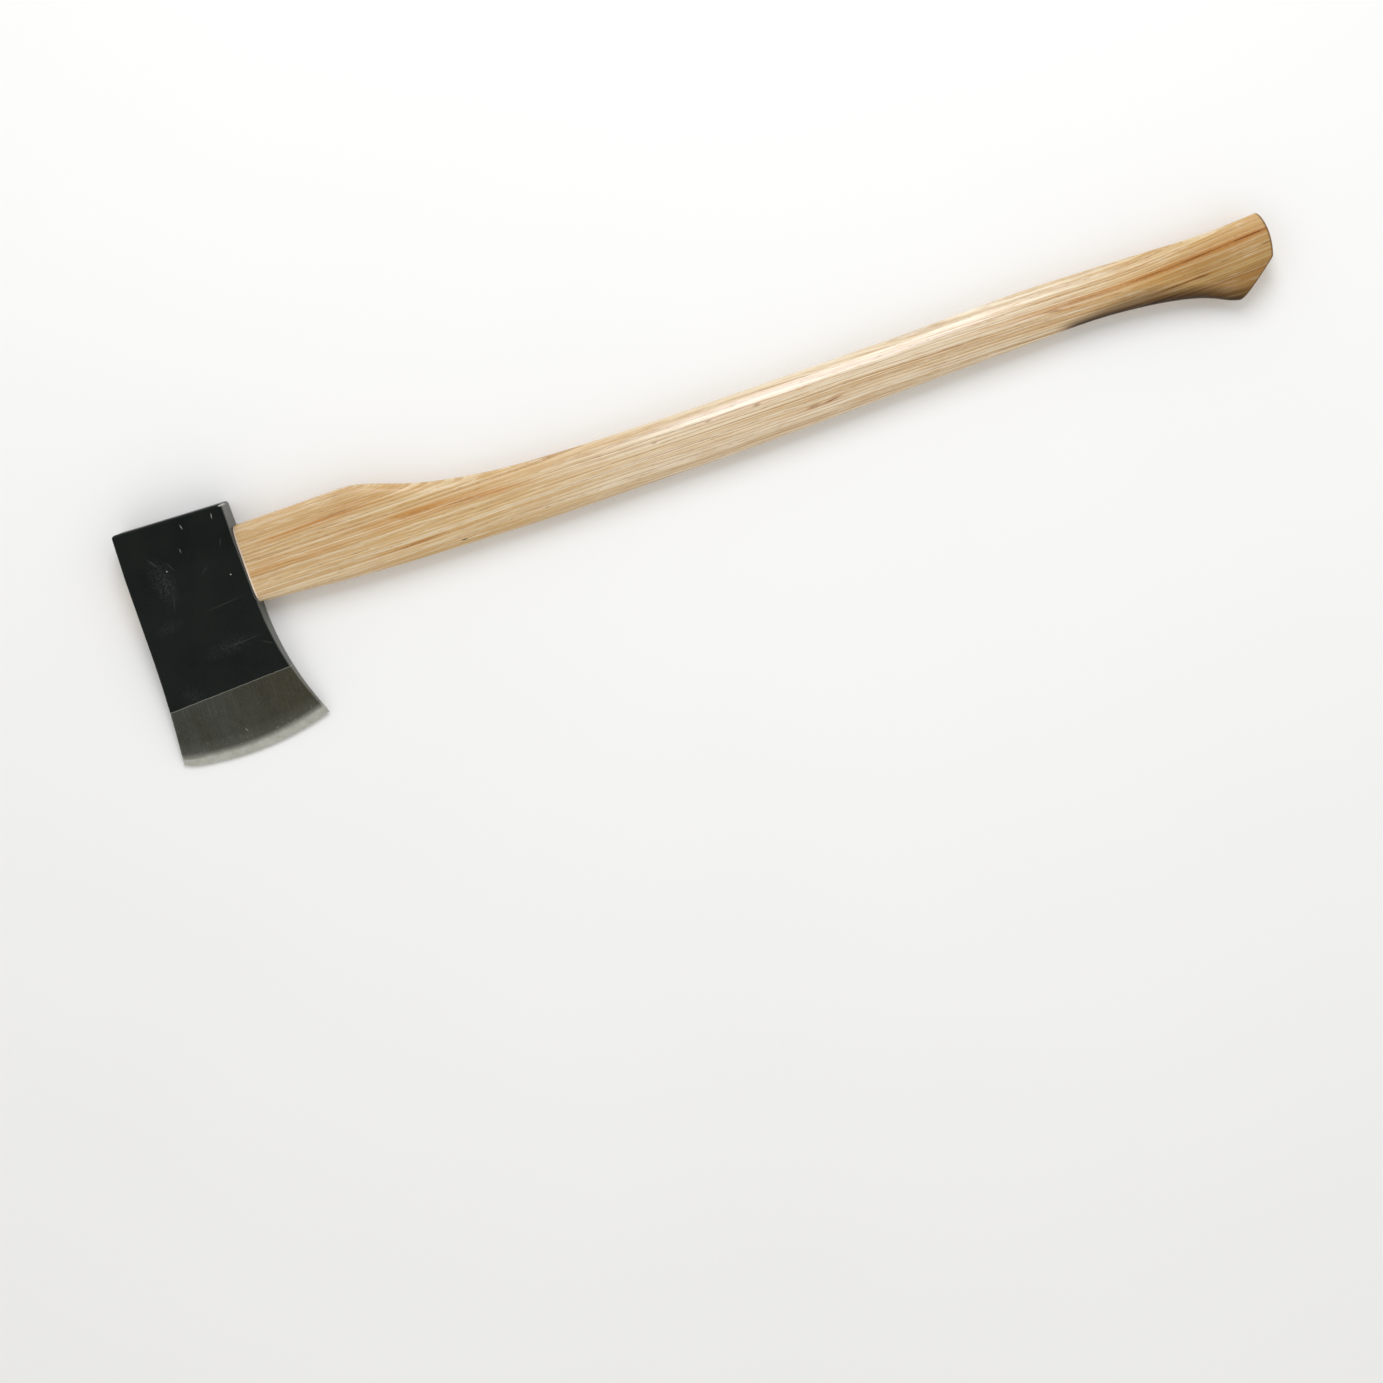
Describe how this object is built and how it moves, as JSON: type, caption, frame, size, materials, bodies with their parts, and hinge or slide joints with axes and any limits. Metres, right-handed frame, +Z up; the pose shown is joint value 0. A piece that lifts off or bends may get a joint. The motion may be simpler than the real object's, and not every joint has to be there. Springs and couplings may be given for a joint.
{
  "type": "felling axe",
  "caption": "Felling axe with a forged single-bit head and a long S-curved wooden haft, lying on one cheek.",
  "frame": {"origin": "on the surface the axe lies on, under the middle of its box", "axes": "+X along the haft from the head to the knob, +Y from the cutting edge towards the poll, +Z up out of the upper cheek"},
  "size_m": [0.914, 0.1916, 0.0316],
  "materials": {
    "head_steel": "satin black paint, bare ground steel along the bit, brighter honed bevel",
    "haft_wood": "straight-grained ash under clear gloss varnish",
    "wedge_wood": "unvarnished hardwood, end grain showing",
    "wedge_steel": "plain mild steel, lightly hammered"
  },
  "bodies": {
    "root": {"axe_head": "head_steel", "haft": "haft_wood", "wooden_wedge": "wedge_wood", "steel_wedge_front": "wedge_steel", "steel_wedge_rear": "wedge_steel"}
  },
  "joints": []
}
